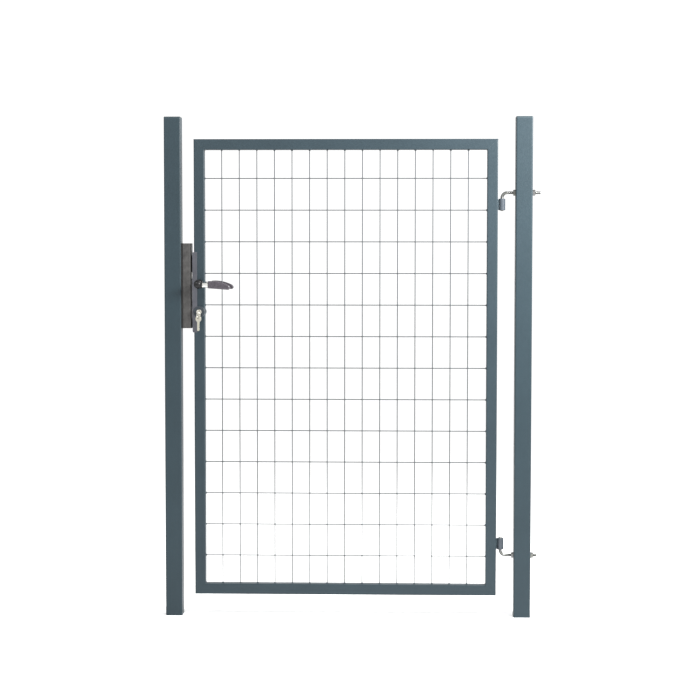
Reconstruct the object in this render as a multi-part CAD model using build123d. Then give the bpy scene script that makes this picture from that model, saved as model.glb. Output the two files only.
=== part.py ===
from build123d import *
import os
from math import sqrt

# Garden gate: a welded mesh leaf in a square tube frame, hung on two adjustable hook bolts between
# two square posts, with an insert lock, lever handles, a profile cylinder and a keep on the far post.
# Millimetres. The origin is the centre of the hinge post's foot, +X points away from the leaf,
# +Y to the back of the gate and +Z up. The leaf opens towards -Y.

# Posts and their caps
POST_SIZE = 55.0
POST_WALL = 2.5
POST_CORNER = 4.0
POST_ABOVE_LEAF = 67.0
CAP_LID = 6.0
CAP_EDGE = 1.5
CAP_PLUG_DEPTH = 18.0
CAP_PLUG_WALL = 2.5
CAP_FIT = 0.15

# Leaf frame
LEAF_WIDTH = 1000.0
LEAF_HEIGHT = 1508.0
LEAF_GROUND_GAP = 71.0
FRAME_SIZE = 35.0
FRAME_WALL = 2.0
FRAME_CORNER = 3.5
HINGE_GAP = 58.0
LATCH_GAP = 42.0

# Welded mesh: uprights in front of crosswires, the panel set a little towards the latch side
WIRE_DIAMETER = 3.0
UPRIGHT_PITCH = 58.0
CROSSWIRE_PITCH = 104.3
MESH_SHIFT = 2.5
WIRE_GAP = 0.04

# Hinges: an eye barrel welded to the leaf turns on the bent end of an M10 hook bolt
HOOK_DIAMETER = 10.0
PIN_CLEARANCE = 0.05
BARREL_DIAMETER = 22.0
BARREL_LENGTH = 38.0
BARREL_OFFSET = 14.0
BARREL_CHAMFER = 0.8
TAB_THICKNESS = 8.0
TAB_LENGTH = 32.0
UPPER_BARREL_DROP = 214.0
LOWER_BARREL_RISE = 172.0
HOOK_RISE = 38.5
HOOK_BEND = 17.0
PIN_TIP = 2.5
HOOK_HOLE_CLEARANCE = 0.4
UPPER_HOOK_REACH = 27.0
LOWER_HOOK_REACH = 21.0
NUT_WIDTH = 17.0
NUT_THICKNESS = 8.0
WASHER_DIAMETER = 20.0
WASHER_THICKNESS = 2.0
THREAD_CLEARANCE = 0.05

# Lock position on the latch stile
HANDLE_HEIGHT = 1103.0
CYLINDER_DROP = 92.0

# Lock forend: a channel that caps the stile's edge, its ends measured from the handle
FOREND_ABOVE = 105.0
FOREND_BELOW = 160.0
FOREND_PROUD = 5.0
FOREND_LEG = 10.5
FOREND_LEG_THICKNESS = 1.5
FOREND_CORNER = 4.5
FOREND_SCREW_INSET = 8.0
FOREND_SCREW_LENGTH = 14.0
FOREND_SCREW_DIAMETER = 5.0
SCREW_FIT = 0.05

# Lock case, its ends measured from the handle
CASE_ABOVE = 92.0
CASE_BELOW = 145.0
CASE_THICKNESS = 17.0
CASE_WALL = 1.5
CASE_BACK_CLEARANCE = 0.5
CASE_SLOT_CLEARANCE = 0.2

# Latch bolt, its spring and the follower that draws it back
LATCH_RISE = 28.0
LATCH_WIDTH = 14.0
LATCH_HEIGHT = 20.0
LATCH_PROJECTION = 11.0
LATCH_BACK = 5.0
LATCH_TAIL_HEIGHT = 6.0
LATCH_TAIL_WIDTH = 7.0
LATCH_LUG_LEAD = 1.4
LATCH_LUG_THICKNESS = 2.6
LATCH_LUG_DROP = 6.0
BOLT_CLEARANCE = 0.3
SPRING_RISE = 4.0
SPRING_RADIUS = 3.6
SPRING_WIRE = 1.0
SPRING_PITCH = 3.2
SPRING_PIN_RADIUS = 2.5
SPRING_PIN_LENGTH = 5.0
FOLLOWER_RADIUS = 9.0
FOLLOWER_THICKNESS = 12.0
FOLLOWER_JOURNAL = 7.0
FOLLOWER_ARM_REACH = 17.2
FOLLOWER_ARM_WIDTH = 5.0
FOLLOWER_ARM_THICKNESS = 6.0
FOLLOWER_ARM_LEAN = 20.0
JOURNAL_CLEARANCE = 0.05
SPINDLE_SIZE = 8.0
SPINDLE_FIT = 0.1

# Deadbolt
DEADBOLT_RISE = 28.0
DEADBOLT_WIDTH = 12.0
DEADBOLT_HEIGHT = 20.0
DEADBOLT_LENGTH = FRAME_SIZE - 2.0
DEADBOLT_SETBACK = 0.5
DEADBOLT_TRAVEL = 20.0

# Profile cylinder, its plugs, cam and keys
CYLINDER_RADIUS = 8.5
CYLINDER_TAIL_WIDTH = 10.0
CYLINDER_HEIGHT = 33.0
CYLINDER_LENGTH = 60.0
CYLINDER_FIT = 0.2
CAM_GAP = 10.4
CAM_THICKNESS = 9.8
CAM_RADIUS = 8.3
CAM_REACH = 13.0
CAM_NOSE_WIDTH = 7.6
BRIDGE_HEIGHT = 8.0
PLUG_RADIUS = 6.5
PLUG_CLEARANCE = 0.05
CYLINDER_SCREW_DIAMETER = 5.0
KEY_THICKNESS = 2.2
KEY_BLADE_HEIGHT = 8.0
KEY_BLADE_LENGTH = 32.0
KEY_BLADE_IN = 28.0
KEY_BOW_DIAMETER = 20.0
KEY_BOW_LAP = 2.0
KEY_HOLE_RADIUS = 4.2
KEY_HOLE_INSET = 6.6
KEY_SLOT_FIT = 0.1
KEY_CUTS = (1.6, 0.8, 2.2, 1.2, 1.9)
KEY_CUT_PITCH = 4.2
RING_RADIUS = 7.0
RING_WIRE = 1.5
RING_TURN = 30.0
RING_PLAY = 0.9
SPARE_KEY_TURN = -20.0

# Roses and lever handles, the same on both faces
HANDLE_ROSE_DIAMETER = 30.0
HANDLE_ROSE_THICKNESS = 9.0
CYLINDER_ROSE_DIAMETER = 38.0
CYLINDER_ROSE_THICKNESS = 10.0
ROSE_EDGE = 2.0
NECK_RADIUS = 9.5
NECK_SEAT = 3.0
ELBOW_RADIUS = 13.0
SHOULDER_RADIUS = 10.0
SHOULDER_END = 16.0
HANDLE_STANDOFF = 46.0
HANDLE_LENGTH = 106.0
COLLAR_RADIUS = 8.6
COLLAR_DROP = 3.0
COLLAR_END = 33.0
TANG_SIZE = 9.0
TANG_LENGTH = 38.0
GRIP_DEPTH = 14.0
GRIP_ROOT_TOP = 10.0
GRIP_ROOT_BOTTOM = 13.5
GRIP_CREST = 8.0
GRIP_TIP_TOP = 3.0
GRIP_TIP_BOTTOM = 18.5
GRIP_EDGE = 4.5
GRIP_TIP_CORNER = 4.0
GRUB_DIAMETER = 5.0
SPINDLE_IN_NECK = 30.0

# Keep on the latch post, its ends measured from the handle
KEEP_ABOVE = 134.0
KEEP_BELOW = 146.0
KEEP_DEPTH = LATCH_GAP - 9.0
KEEP_WIDTH = FRAME_SIZE + 9.0
KEEP_BASE_THICKNESS = 5.0
KEEP_EDGE = 2.5
STRIKE_THICKNESS = 2.0
STRIKE_SIDE_MARGIN = 1.0
POCKET_CLEARANCE = 2.0
KEEP_SCREW_INSET = 16.0
KEEP_SCREW_DIAMETER = 8.0
KEEP_SCREW_BITE = 8.0
STOP_THICKNESS = 4.0
STOP_OVERLAP = 8.0
STOP_LUG_MARGIN = 5.0
BUFFER_GAP = 0.2
STOP_SCREW_DIAMETER = 4.0
STOP_SCREW_LENGTH = 12.0

# Places worked out from the sizes above
HINGE_STILE_FACE = -POST_SIZE / 2 - HINGE_GAP
LATCH_STILE_FACE = HINGE_STILE_FACE - LEAF_WIDTH
LATCH_POST_FACE = LATCH_STILE_FACE - LATCH_GAP
LATCH_POST_X = LATCH_POST_FACE - POST_SIZE / 2
LEAF_BOTTOM = LEAF_GROUND_GAP
LEAF_TOP = LEAF_GROUND_GAP + LEAF_HEIGHT
POST_LENGTH = LEAF_TOP + POST_ABOVE_LEAF
UPPER_BARREL_HEIGHT = LEAF_TOP - UPPER_BARREL_DROP
LOWER_BARREL_HEIGHT = LEAF_BOTTOM + LOWER_BARREL_RISE
HINGE_X = HINGE_STILE_FACE + BARREL_OFFSET
SPINDLE_X = LATCH_STILE_FACE + FRAME_SIZE / 2
CYLINDER_Z = HANDLE_HEIGHT - CYLINDER_DROP
FOREND_TOP = HANDLE_HEIGHT + FOREND_ABOVE
FOREND_BOTTOM = HANDLE_HEIGHT - FOREND_BELOW
CASE_TOP = HANDLE_HEIGHT + CASE_ABOVE
CASE_BOTTOM = HANDLE_HEIGHT - CASE_BELOW
KEEP_TOP = HANDLE_HEIGHT + KEEP_ABOVE
KEEP_BOTTOM = HANDLE_HEIGHT - KEEP_BELOW
LATCH_Z = HANDLE_HEIGHT + LATCH_RISE
DEADBOLT_Z = CYLINDER_Z + DEADBOLT_RISE
FOREND_FACE = LATCH_STILE_FACE - FOREND_PROUD
KEEP_FACE = LATCH_POST_FACE + KEEP_DEPTH
CASE_BACK = LATCH_STILE_FACE + FRAME_SIZE - FRAME_WALL - CASE_BACK_CLEARANCE
FACE_Y = FRAME_SIZE / 2
LEG_Y = FACE_Y + FOREND_LEG_THICKNESS
HANDLE_Y = FACE_Y + HANDLE_STANDOFF
BRIDGE_Z = CYLINDER_Z + CYLINDER_RADIUS - CYLINDER_HEIGHT + BRIDGE_HEIGHT / 2
KEY_LENGTH = KEY_BLADE_LENGTH + KEY_BOW_DIAMETER - KEY_BOW_LAP
KEY_TIP_Y = -CYLINDER_LENGTH / 2 + KEY_BLADE_IN
KEY_HOLE_Y = KEY_TIP_Y - KEY_LENGTH + KEY_HOLE_INSET


def block(x, y, z):
    """A box between the low and high values of x, y and z."""
    size = [high - low for low, high in (x, y, z)]
    middle = [(high + low) / 2 for low, high in (x, y, z)]
    return Pos(*middle) * Box(*size)


def rod(axis, start, end, at, radius):
    """A cylinder along X, Y or Z, at the two other coordinates."""
    length = end - start
    middle = (start + end) / 2
    if axis == "X":
        return Pos(middle, *at) * Rot(0, 90, 0) * Cylinder(radius, length)
    if axis == "Y":
        return Pos(at[0], middle, at[1]) * Rot(90, 0, 0) * Cylinder(radius, length)
    return Pos(*at, middle) * Cylinder(radius, length)


def prism_y(points, low, high):
    """An outline of (x, z) points, extruded along Y."""
    outline = Plane.XZ.offset(-low) * make_face(Polyline(*points, close=True))
    return extrude(outline, -(high - low))


def mirrored(shape):
    """The same piece on the back face of the gate."""
    return shape.mirror(Plane.XZ)


def square_tube(size, wall, corner, length):
    """A square tube along Z, standing on z = 0."""
    bore = RectangleRounded(size - 2 * wall, size - 2 * wall, corner - wall)
    return extrude(RectangleRounded(size, size, corner) - bore, length)


def countersunk_screw(x, at, diameter, length, fit=0.0):
    """A countersunk screw along +X with its head's face at x; fit opens it out to cut its hole."""
    radius = diameter / 2
    head = Cone(radius + fit, 2 * radius + fit, radius)
    shank = rod("X", x + radius, x + length, at, radius + fit)
    return Pos(x + radius / 2, *at) * Rot(0, -90, 0) * head + shank


def hinge_post():
    post = square_tube(POST_SIZE, POST_WALL, POST_CORNER, POST_LENGTH)
    for height in hook_heights():
        post -= rod("X", -POST_SIZE, POST_SIZE, (0, height), HOOK_DIAMETER / 2 + HOOK_HOLE_CLEARANCE)
    return post


def latch_post():
    post = Pos(LATCH_POST_X, 0, 0) * square_tube(POST_SIZE, POST_WALL, POST_CORNER, POST_LENGTH)
    for screw in keep_screw_heights():
        hole = KEEP_SCREW_DIAMETER / 2 + SCREW_FIT
        post -= rod("X", LATCH_POST_X, LATCH_POST_FACE + 1, (0, screw), hole)
    return post


def post_cap(x):
    lid = Pos(x, 0, POST_LENGTH) * extrude(RectangleRounded(POST_SIZE, POST_SIZE, POST_CORNER), CAP_LID)
    lid = chamfer(lid.faces().sort_by(Axis.Z)[-1].edges(), CAP_EDGE)
    plug_size = POST_SIZE - 2 * (POST_WALL + CAP_FIT)
    corner = POST_CORNER - POST_WALL
    plug = square_tube(plug_size, CAP_PLUG_WALL, CAP_PLUG_WALL + corner, CAP_PLUG_DEPTH)
    return lid + Pos(x, 0, POST_LENGTH - CAP_PLUG_DEPTH) * plug


def rail(z_outer, direction):
    """A mitred horizontal frame tube; direction is 1 for the top rail and -1 for the bottom one."""
    z_inner = z_outer - direction * FRAME_SIZE
    tube = square_tube(FRAME_SIZE, FRAME_WALL, FRAME_CORNER, LEAF_WIDTH)
    tube = Pos(LATCH_STILE_FACE, 0, (z_outer + z_inner) / 2) * Rot(0, 90, 0) * tube
    mitre = [(LATCH_STILE_FACE, z_outer), (HINGE_STILE_FACE, z_outer),
             (HINGE_STILE_FACE - FRAME_SIZE, z_inner), (LATCH_STILE_FACE + FRAME_SIZE, z_inner)]
    return tube & prism_y(mitre, -FRAME_SIZE, FRAME_SIZE)


def stile(x_outer, direction):
    """A mitred upright frame tube; direction is 1 for the hinge side and -1 for the latch side."""
    x_inner = x_outer - direction * FRAME_SIZE
    tube = square_tube(FRAME_SIZE, FRAME_WALL, FRAME_CORNER, LEAF_HEIGHT)
    tube = Pos((x_outer + x_inner) / 2, 0, LEAF_BOTTOM) * tube
    mitre = [(x_outer, LEAF_BOTTOM), (x_inner, LEAF_BOTTOM + FRAME_SIZE),
             (x_inner, LEAF_TOP - FRAME_SIZE), (x_outer, LEAF_TOP)]
    return tube & prism_y(mitre, -FRAME_SIZE, FRAME_SIZE)


def latch_stile():
    """The latch stile, slotted for the lock case and pierced for the spindle and the cylinder."""
    tube = stile(LATCH_STILE_FACE, -1)
    half = CASE_THICKNESS / 2 + CASE_SLOT_CLEARANCE
    slot_z = (CASE_BOTTOM - CASE_SLOT_CLEARANCE, CASE_TOP + CASE_SLOT_CLEARANCE)
    tube -= block((LATCH_STILE_FACE - 1, LATCH_STILE_FACE + FRAME_WALL + 1), (-half, half), slot_z)
    tube -= spindle_hole()
    tube -= cylinder_profile(FRAME_SIZE * 2, CYLINDER_FIT)
    for height in forend_screw_heights():
        hole = FOREND_SCREW_DIAMETER / 2 + SCREW_FIT
        tube -= rod("X", LATCH_STILE_FACE - 1, SPINDLE_X, (0, height), hole)
    return tube


def spindle_hole():
    """Room for the spindle to turn, through the stile and the legs of the forend."""
    return rod("Y", -FRAME_SIZE, FRAME_SIZE, (SPINDLE_X, HANDLE_HEIGHT), FOLLOWER_JOURNAL + 1)


def wire_places(low, high, pitch):
    """Wires at an even pitch, centred between two sides of the frame."""
    count = round((high - low) / pitch) - 1
    return [(low + high) / 2 + pitch * (i - (count - 1) / 2) for i in range(count)]


def mesh_uprights():
    """Upright wires, welded by their ends between the rails."""
    radius = WIRE_DIAMETER / 2
    ends = (LEAF_BOTTOM + FRAME_SIZE, LEAF_TOP - FRAME_SIZE)
    places = wire_places(LATCH_STILE_FACE + FRAME_SIZE, HINGE_STILE_FACE - FRAME_SIZE, UPRIGHT_PITCH)
    at = -radius - WIRE_GAP / 2
    return Compound([rod("Z", *ends, (x - MESH_SHIFT, at), radius).solid() for x in places])


def mesh_crosswires():
    """Crosswires behind the uprights, welded by their ends between the stiles."""
    radius = WIRE_DIAMETER / 2
    ends = (LATCH_STILE_FACE + FRAME_SIZE, HINGE_STILE_FACE - FRAME_SIZE)
    places = wire_places(LEAF_BOTTOM + FRAME_SIZE, LEAF_TOP - FRAME_SIZE, CROSSWIRE_PITCH)
    return Compound([rod("X", *ends, (radius + WIRE_GAP / 2, z), radius).solid() for z in places])


def hook_heights():
    """Heights of the threaded shanks: above the upper barrel and below the lower one."""
    return UPPER_BARREL_HEIGHT + HOOK_RISE, LOWER_BARREL_HEIGHT - HOOK_RISE


def hinge_barrel(height):
    low = height - BARREL_LENGTH / 2
    barrel = rod("Z", low, low + BARREL_LENGTH, (HINGE_X, 0), BARREL_DIAMETER / 2)
    barrel = chamfer(barrel.edges().filter_by(GeomType.CIRCLE), BARREL_CHAMFER)
    bore = HOOK_DIAMETER / 2 + PIN_CLEARANCE
    return barrel - rod("Z", low - 1, low + BARREL_LENGTH + 1, (HINGE_X, 0), bore)


def hinge_tab(height):
    """The flat that joins a barrel to the stile."""
    half = TAB_THICKNESS / 2
    tab = block((HINGE_STILE_FACE, HINGE_X), (-half, half),
                (height - TAB_LENGTH / 2, height + TAB_LENGTH / 2))
    return tab - rod("Z", height - BARREL_LENGTH, height + BARREL_LENGTH, (HINGE_X, 0), BARREL_DIAMETER / 2)


def hook_bolt(barrel_height, direction, reach):
    """A threaded rod bent to a pin; direction is 1 where it enters its barrel from above."""
    tip = barrel_height - direction * (BARREL_LENGTH / 2 + PIN_TIP)
    shank = barrel_height + direction * HOOK_RISE
    end = POST_SIZE / 2 + reach
    line = FilletPolyline((HINGE_X, 0, tip), (HINGE_X, 0, shank), (end, 0, shank), radius=HOOK_BEND)
    bolt = sweep(Plane(origin=line @ 0, z_dir=line % 0) * Circle(HOOK_DIAMETER / 2), path=line)
    return chamfer(bolt.faces().filter_by(GeomType.PLANE).edges(), 1.0)


def hex_nut(x, height):
    """A hexagon nut along X that starts at x, its corners turned down at both faces."""
    corner_radius = NUT_WIDTH / sqrt(3)
    blank = chamfer(Cylinder(corner_radius, NUT_THICKNESS).edges().filter_by(GeomType.CIRCLE), 1.0)
    hexagon = extrude(RegularPolygon(NUT_WIDTH / 2, 6, major_radius=False), NUT_THICKNESS / 2, both=True)
    nut = (hexagon & blank) - Cylinder(HOOK_DIAMETER / 2 + THREAD_CLEARANCE, NUT_THICKNESS * 2)
    return (Pos(x + NUT_THICKNESS / 2, 0, height) * Rot(0, 90, 0) * nut).solid()


def inner_nuts():
    return Compound([hex_nut(-POST_SIZE / 2 - NUT_THICKNESS, height) for height in hook_heights()])


def outer_nuts():
    return Compound([hex_nut(POST_SIZE / 2 + WASHER_THICKNESS, height) for height in hook_heights()])


def outer_washers():
    washers = []
    for height in hook_heights():
        disc = rod("X", POST_SIZE / 2, POST_SIZE / 2 + WASHER_THICKNESS, (0, height), WASHER_DIAMETER / 2)
        hole = HOOK_DIAMETER / 2 + HOOK_HOLE_CLEARANCE
        washers.append((disc - rod("X", 0, POST_SIZE, (0, height), hole)).solid())
    return Compound(washers)


def keep_screw_heights():
    return KEEP_BOTTOM + KEEP_SCREW_INSET, KEEP_TOP - KEEP_SCREW_INSET


def keep_screw_cuts(fit):
    """Both keep screws: their heads lie in the strike plate and their ends grip the post's wall."""
    length = KEEP_DEPTH + KEEP_SCREW_BITE
    return [countersunk_screw(0, (0, 0), KEEP_SCREW_DIAMETER, length, fit).moved(
        Location((KEEP_FACE, 0, height), (0, 0, 180))) for height in keep_screw_heights()]


def keep_base():
    half = KEEP_WIDTH / 2
    plate = block((LATCH_POST_FACE, LATCH_POST_FACE + KEEP_BASE_THICKNESS), (-half, half),
                  (KEEP_BOTTOM, KEEP_TOP))
    for screw in keep_screw_cuts(SCREW_FIT):
        plate -= screw
    return plate


def keep_housing():
    half = KEEP_WIDTH / 2
    start = LATCH_POST_FACE + KEEP_BASE_THICKNESS
    body = block((start, KEEP_FACE - STRIKE_THICKNESS), (-half, half), (KEEP_BOTTOM, KEEP_TOP))
    body = fillet(body.faces().sort_by(Axis.Y)[0].edges().filter_by(Axis.Z), KEEP_EDGE)
    for pocket in keep_pockets():
        body -= pocket
    for screw in keep_screw_cuts(SCREW_FIT):
        body -= screw
    for height in stop_screw_heights():
        body -= stop_screw(height, SCREW_FIT)
    return body


def bolt_cuts(start, end, clearance):
    """A cut for the latch and one for the deadbolt, from start to end along X."""
    cuts = []
    for height, width, tall in ((LATCH_Z, LATCH_WIDTH, LATCH_HEIGHT),
                                (DEADBOLT_Z, DEADBOLT_WIDTH, DEADBOLT_HEIGHT)):
        half = width / 2 + clearance
        rise = tall / 2 + clearance
        cuts.append(block((start, end), (-half, half), (height - rise, height + rise)))
    return cuts


def keep_pockets():
    """The two recesses that the latch and the deadbolt enter, as deep as the deadbolt travels."""
    return bolt_cuts(KEEP_FACE - DEADBOLT_TRAVEL, KEEP_FACE + 1, POCKET_CLEARANCE)


def keep_strike_plate():
    half = KEEP_WIDTH / 2 - STRIKE_SIDE_MARGIN
    plate = block((KEEP_FACE - STRIKE_THICKNESS, KEEP_FACE), (-half, half), (KEEP_BOTTOM, KEEP_TOP))
    for cut in keep_pockets() + keep_screw_cuts(SCREW_FIT):
        plate -= cut
    return plate


def keep_screws():
    return Compound([screw.solid() for screw in keep_screw_cuts(0)])


def stop_lugs():
    """Heights of the two lugs of the stop, clear of the roses on the back of the stile."""
    handle_rose_top = HANDLE_HEIGHT + HANDLE_ROSE_DIAMETER / 2
    cylinder_rose_bottom = CYLINDER_Z - CYLINDER_ROSE_DIAMETER / 2
    upper = (handle_rose_top + 4 * STOP_LUG_MARGIN, FOREND_TOP - 2 * STOP_LUG_MARGIN)
    lower = (KEEP_BOTTOM, cylinder_rose_bottom - STOP_LUG_MARGIN)
    return upper, lower


def stop_screw_heights():
    return KEEP_BOTTOM + 3 * KEEP_SCREW_INSET, KEEP_TOP - 3 * KEEP_SCREW_INSET


def stop_screw(height, fit=0.0):
    """A countersunk screw that holds the stop to the back of the keep."""
    screw = countersunk_screw(0, (0, 0), STOP_SCREW_DIAMETER, STOP_SCREW_LENGTH, fit)
    x = LATCH_POST_FACE + KEEP_BASE_THICKNESS * 1.5
    return screw.moved(Location((x, KEEP_WIDTH / 2 + STOP_THICKNESS, height), (0, 0, -90)))


def keep_stop():
    """A strip on the back of the keep with two lugs that reach behind the stile."""
    near = KEEP_WIDTH / 2
    y = (near, near + STOP_THICKNESS)
    strip = block((LATCH_POST_FACE, KEEP_FACE), y, (KEEP_BOTTOM, KEEP_TOP))
    for lug in stop_lugs():
        strip += block((KEEP_FACE, LATCH_STILE_FACE + STOP_OVERLAP), y, lug)
    for height in stop_screw_heights():
        strip -= stop_screw(height, SCREW_FIT)
    return strip


def keep_stop_screws():
    return Compound([stop_screw(height).solid() for height in stop_screw_heights()])


def keep_buffers():
    """Rubber pads between the stop's lugs and the back of the forend."""
    pads = []
    for low, high in stop_lugs():
        pads.append(block((LATCH_STILE_FACE - FOREND_PROUD / 2, LATCH_STILE_FACE + STOP_OVERLAP),
                          (LEG_Y + BUFFER_GAP, KEEP_WIDTH / 2), (low + 1, high - 1)).solid())
    return Compound(pads)


def forend_screw_heights():
    return FOREND_BOTTOM + FOREND_SCREW_INSET, FOREND_TOP - FOREND_SCREW_INSET


def forend_screw(height, fit=0.0):
    return countersunk_screw(FOREND_FACE, (0, height), FOREND_SCREW_DIAMETER, FOREND_SCREW_LENGTH, fit)


def cylinder_screw(fit=0.0):
    """The long screw from the forend into the bridge of the cylinder."""
    length = SPINDLE_X + CYLINDER_SCREW_DIAMETER / 2 - FOREND_FACE
    return countersunk_screw(FOREND_FACE, (0, BRIDGE_Z), CYLINDER_SCREW_DIAMETER, length, fit)


def lock_forend():
    outer = block((FOREND_FACE, LATCH_STILE_FACE + FOREND_LEG), (-LEG_Y, LEG_Y),
                  (FOREND_BOTTOM, FOREND_TOP))
    nose = outer.edges().filter_by(Axis.Y).group_by(Axis.X)[0]
    outer = fillet(nose, FOREND_CORNER)
    channel = block((LATCH_STILE_FACE, SPINDLE_X + FRAME_SIZE), (-FACE_Y, FACE_Y),
                    (FOREND_BOTTOM - 1, FOREND_TOP + 1))
    forend = outer - channel
    for cut in bolt_cuts(FOREND_FACE - 1, LATCH_STILE_FACE + 1, BOLT_CLEARANCE):
        forend -= cut
    for height in forend_screw_heights():
        forend -= forend_screw(height, SCREW_FIT)
    forend -= spindle_hole()
    return forend - cylinder_screw(SCREW_FIT) - cylinder_profile(FRAME_SIZE * 2, CYLINDER_FIT)


def forend_screws():
    return Compound([forend_screw(height).solid() for height in forend_screw_heights()])


def lock_case():
    """A shallow tray that holds the works, open towards its cover."""
    half = CASE_THICKNESS / 2
    tray = block((LATCH_STILE_FACE, CASE_BACK), (-half + CASE_WALL, half), (CASE_BOTTOM, CASE_TOP))
    tray -= block((LATCH_STILE_FACE + CASE_WALL, CASE_BACK - CASE_WALL), (-half, half - CASE_WALL),
                  (CASE_BOTTOM + CASE_WALL, CASE_TOP - CASE_WALL))
    for cut in bolt_cuts(LATCH_STILE_FACE - 1, LATCH_STILE_FACE + CASE_WALL + 1, BOLT_CLEARANCE):
        tray -= cut
    return pierced(tray) - cylinder_screw(SCREW_FIT)


def lock_case_cover():
    half = CASE_THICKNESS / 2
    plate = block((LATCH_STILE_FACE, CASE_BACK), (-half, -half + CASE_WALL), (CASE_BOTTOM, CASE_TOP))
    return pierced(plate)


def pierced(wall):
    """A wall of the case with the follower's bearing and the cylinder's hole."""
    bearing = FOLLOWER_JOURNAL + JOURNAL_CLEARANCE
    wall -= rod("Y", -CASE_THICKNESS, CASE_THICKNESS, (SPINDLE_X, HANDLE_HEIGHT), bearing)
    return wall - cylinder_profile(FRAME_SIZE, CYLINDER_FIT)


def latch_bolt():
    """The bevelled latch, its tail under the spring and the lug that the follower pushes."""
    half = LATCH_WIDTH / 2
    tip = FOREND_FACE - LATCH_PROJECTION
    back = LATCH_STILE_FACE + LATCH_BACK
    outline = [(tip, -half), (tip, -half + 2), (FOREND_FACE - 1, half), (back, half), (back, -half)]
    head = extrude(make_face(Polyline(*outline, close=True)), LATCH_HEIGHT)
    head = Pos(0, 0, LATCH_Z - LATCH_HEIGHT / 2) * head
    side = LATCH_TAIL_WIDTH / 2
    low = LATCH_Z - LATCH_HEIGHT / 2
    lug = (SPINDLE_X - LATCH_LUG_LEAD, SPINDLE_X - LATCH_LUG_LEAD + LATCH_LUG_THICKNESS)
    tail = block((back, lug[1]), (-side, side), (low, low + LATCH_TAIL_HEIGHT))
    pusher = block(lug, (-side, side), (low - LATCH_LUG_DROP, low))
    pin = rod("X", back, back + SPRING_PIN_LENGTH, (0, LATCH_Z + SPRING_RISE), SPRING_PIN_RADIUS)
    return head + tail + pusher + pin


def latch_spring():
    """A compression spring from the back of the latch to the back wall of the case."""
    start = LATCH_STILE_FACE + LATCH_BACK + SPRING_WIRE / 2
    length = CASE_BACK - CASE_WALL - SPRING_WIRE / 2 - start
    line = Helix(SPRING_PITCH, length, SPRING_RADIUS)
    coil = sweep(Plane(origin=line @ 0, z_dir=line % 0) * Circle(SPRING_WIRE / 2), path=line)
    return Pos(start, 0, LATCH_Z + SPRING_RISE) * Rot(0, 90, 0) * coil


def follower():
    """The hub on the spindle, with journals in the case and an arm that pushes the latch's lug."""
    half = FOLLOWER_THICKNESS / 2
    hub = rod("Y", -half, half, (0, 0), FOLLOWER_RADIUS)
    hub += rod("Y", -CASE_THICKNESS / 2, CASE_THICKNESS / 2, (0, 0), FOLLOWER_JOURNAL)
    round_end = FOLLOWER_ARM_WIDTH / 2
    side = FOLLOWER_ARM_THICKNESS / 2
    arm = block((-round_end, round_end), (-side, side), (0, FOLLOWER_ARM_REACH - round_end))
    arm += rod("Y", -side, side, (0, FOLLOWER_ARM_REACH - round_end), round_end)
    hub += Rot(0, -FOLLOWER_ARM_LEAN, 0) * arm
    hole = SPINDLE_SIZE / 2 + SPINDLE_FIT
    hub -= block((-hole, hole), (-FRAME_SIZE, FRAME_SIZE), (-hole, hole))
    return Pos(SPINDLE_X, 0, HANDLE_HEIGHT) * hub


def spindle():
    half = SPINDLE_SIZE / 2
    reach = FACE_Y + SPINDLE_IN_NECK
    return block((SPINDLE_X - half, SPINDLE_X + half), (-reach, reach),
                 (HANDLE_HEIGHT - half, HANDLE_HEIGHT + half))


def deadbolt():
    start = FOREND_FACE + DEADBOLT_SETBACK
    half = DEADBOLT_WIDTH / 2
    low = DEADBOLT_Z - DEADBOLT_HEIGHT / 2
    bolt = block((start, start + DEADBOLT_LENGTH), (-half, half), (low, low + DEADBOLT_HEIGHT))
    bolt = chamfer(bolt.faces().sort_by(Axis.X)[0].edges(), 1.0)
    notch = block((SPINDLE_X - CAM_NOSE_WIDTH, SPINDLE_X), (-half - 1, half + 1), (low - 1, low + 2))
    return bolt - notch


def cylinder_profile(length, fit):
    """The keyhole-shaped bar of a profile cylinder along Y, opened out by fit."""
    radius = CYLINDER_RADIUS + fit
    half = CYLINDER_TAIL_WIDTH / 2 + fit
    bottom = CYLINDER_Z + CYLINDER_RADIUS - CYLINDER_HEIGHT - fit
    barrel = rod("Y", -length / 2, length / 2, (SPINDLE_X, CYLINDER_Z), radius)
    tail = block((SPINDLE_X - half, SPINDLE_X + half), (-length / 2, length / 2), (bottom + half, CYLINDER_Z))
    foot = rod("Y", -length / 2, length / 2, (SPINDLE_X, bottom + half), half)
    return barrel + tail + foot


def cylinder_body():
    body = cylinder_profile(CYLINDER_LENGTH, 0)
    half = CAM_GAP / 2
    body -= block((SPINDLE_X - FRAME_SIZE, SPINDLE_X + FRAME_SIZE), (-half, half),
                  (BRIDGE_Z + BRIDGE_HEIGHT / 2, CYLINDER_Z + FRAME_SIZE))
    body -= rod("Y", -CYLINDER_LENGTH, CYLINDER_LENGTH, (SPINDLE_X, CYLINDER_Z), PLUG_RADIUS + PLUG_CLEARANCE)
    return body - cylinder_screw(SCREW_FIT)


def key_slot():
    """The slot that a key's blade fills, from the front face to the cam."""
    half = KEY_THICKNESS / 2 + KEY_SLOT_FIT
    rise = KEY_BLADE_HEIGHT / 2 + KEY_SLOT_FIT
    front = -CYLINDER_LENGTH / 2
    return block((SPINDLE_X - half, SPINDLE_X + half), (front - 1, front + KEY_BLADE_IN + 1),
                 (CYLINDER_Z - rise, CYLINDER_Z + rise))


def front_plug():
    plug = rod("Y", -CYLINDER_LENGTH / 2, -CAM_GAP / 2, (SPINDLE_X, CYLINDER_Z), PLUG_RADIUS)
    return plug - key_slot()


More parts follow.
